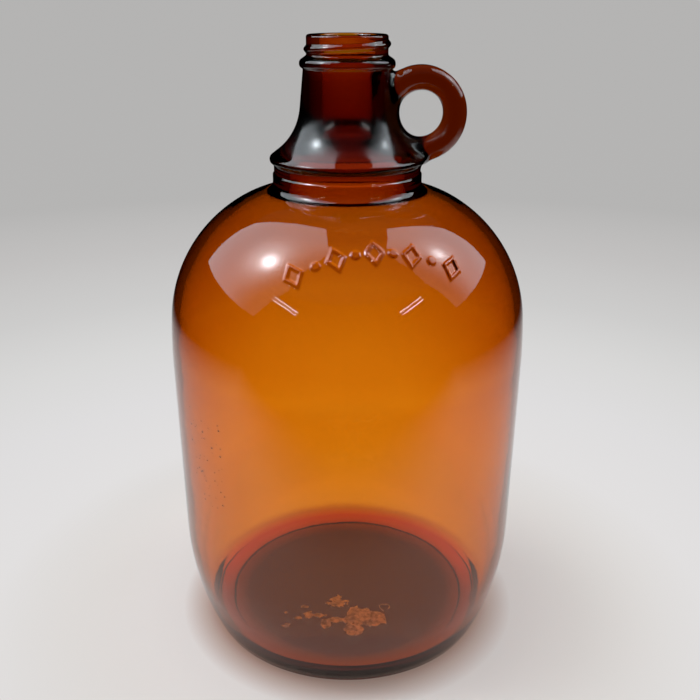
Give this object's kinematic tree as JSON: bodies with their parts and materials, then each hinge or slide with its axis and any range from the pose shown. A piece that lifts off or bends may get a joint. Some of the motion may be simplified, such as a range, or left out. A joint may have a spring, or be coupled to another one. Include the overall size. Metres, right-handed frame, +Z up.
{
  "type": "glass jug",
  "caption": "Empty amber glass jug with a round shoulder, a stepped collar, a finger ring beside the neck and a screw finish; it stands on a ring round its base.",
  "frame": {"origin": "middle of the base, on the surface that the jug stands on", "axes": "+Z up the jug's axis, +X towards the finger ring, -Y the front with the raised band"},
  "size_m": [0.167, 0.167, 0.286],
  "materials": {
    "amber_glass": "clear amber, polished, with small moulding waves"
  },
  "bodies": {
    "root": {"jug": "amber_glass"}
  },
  "joints": []
}
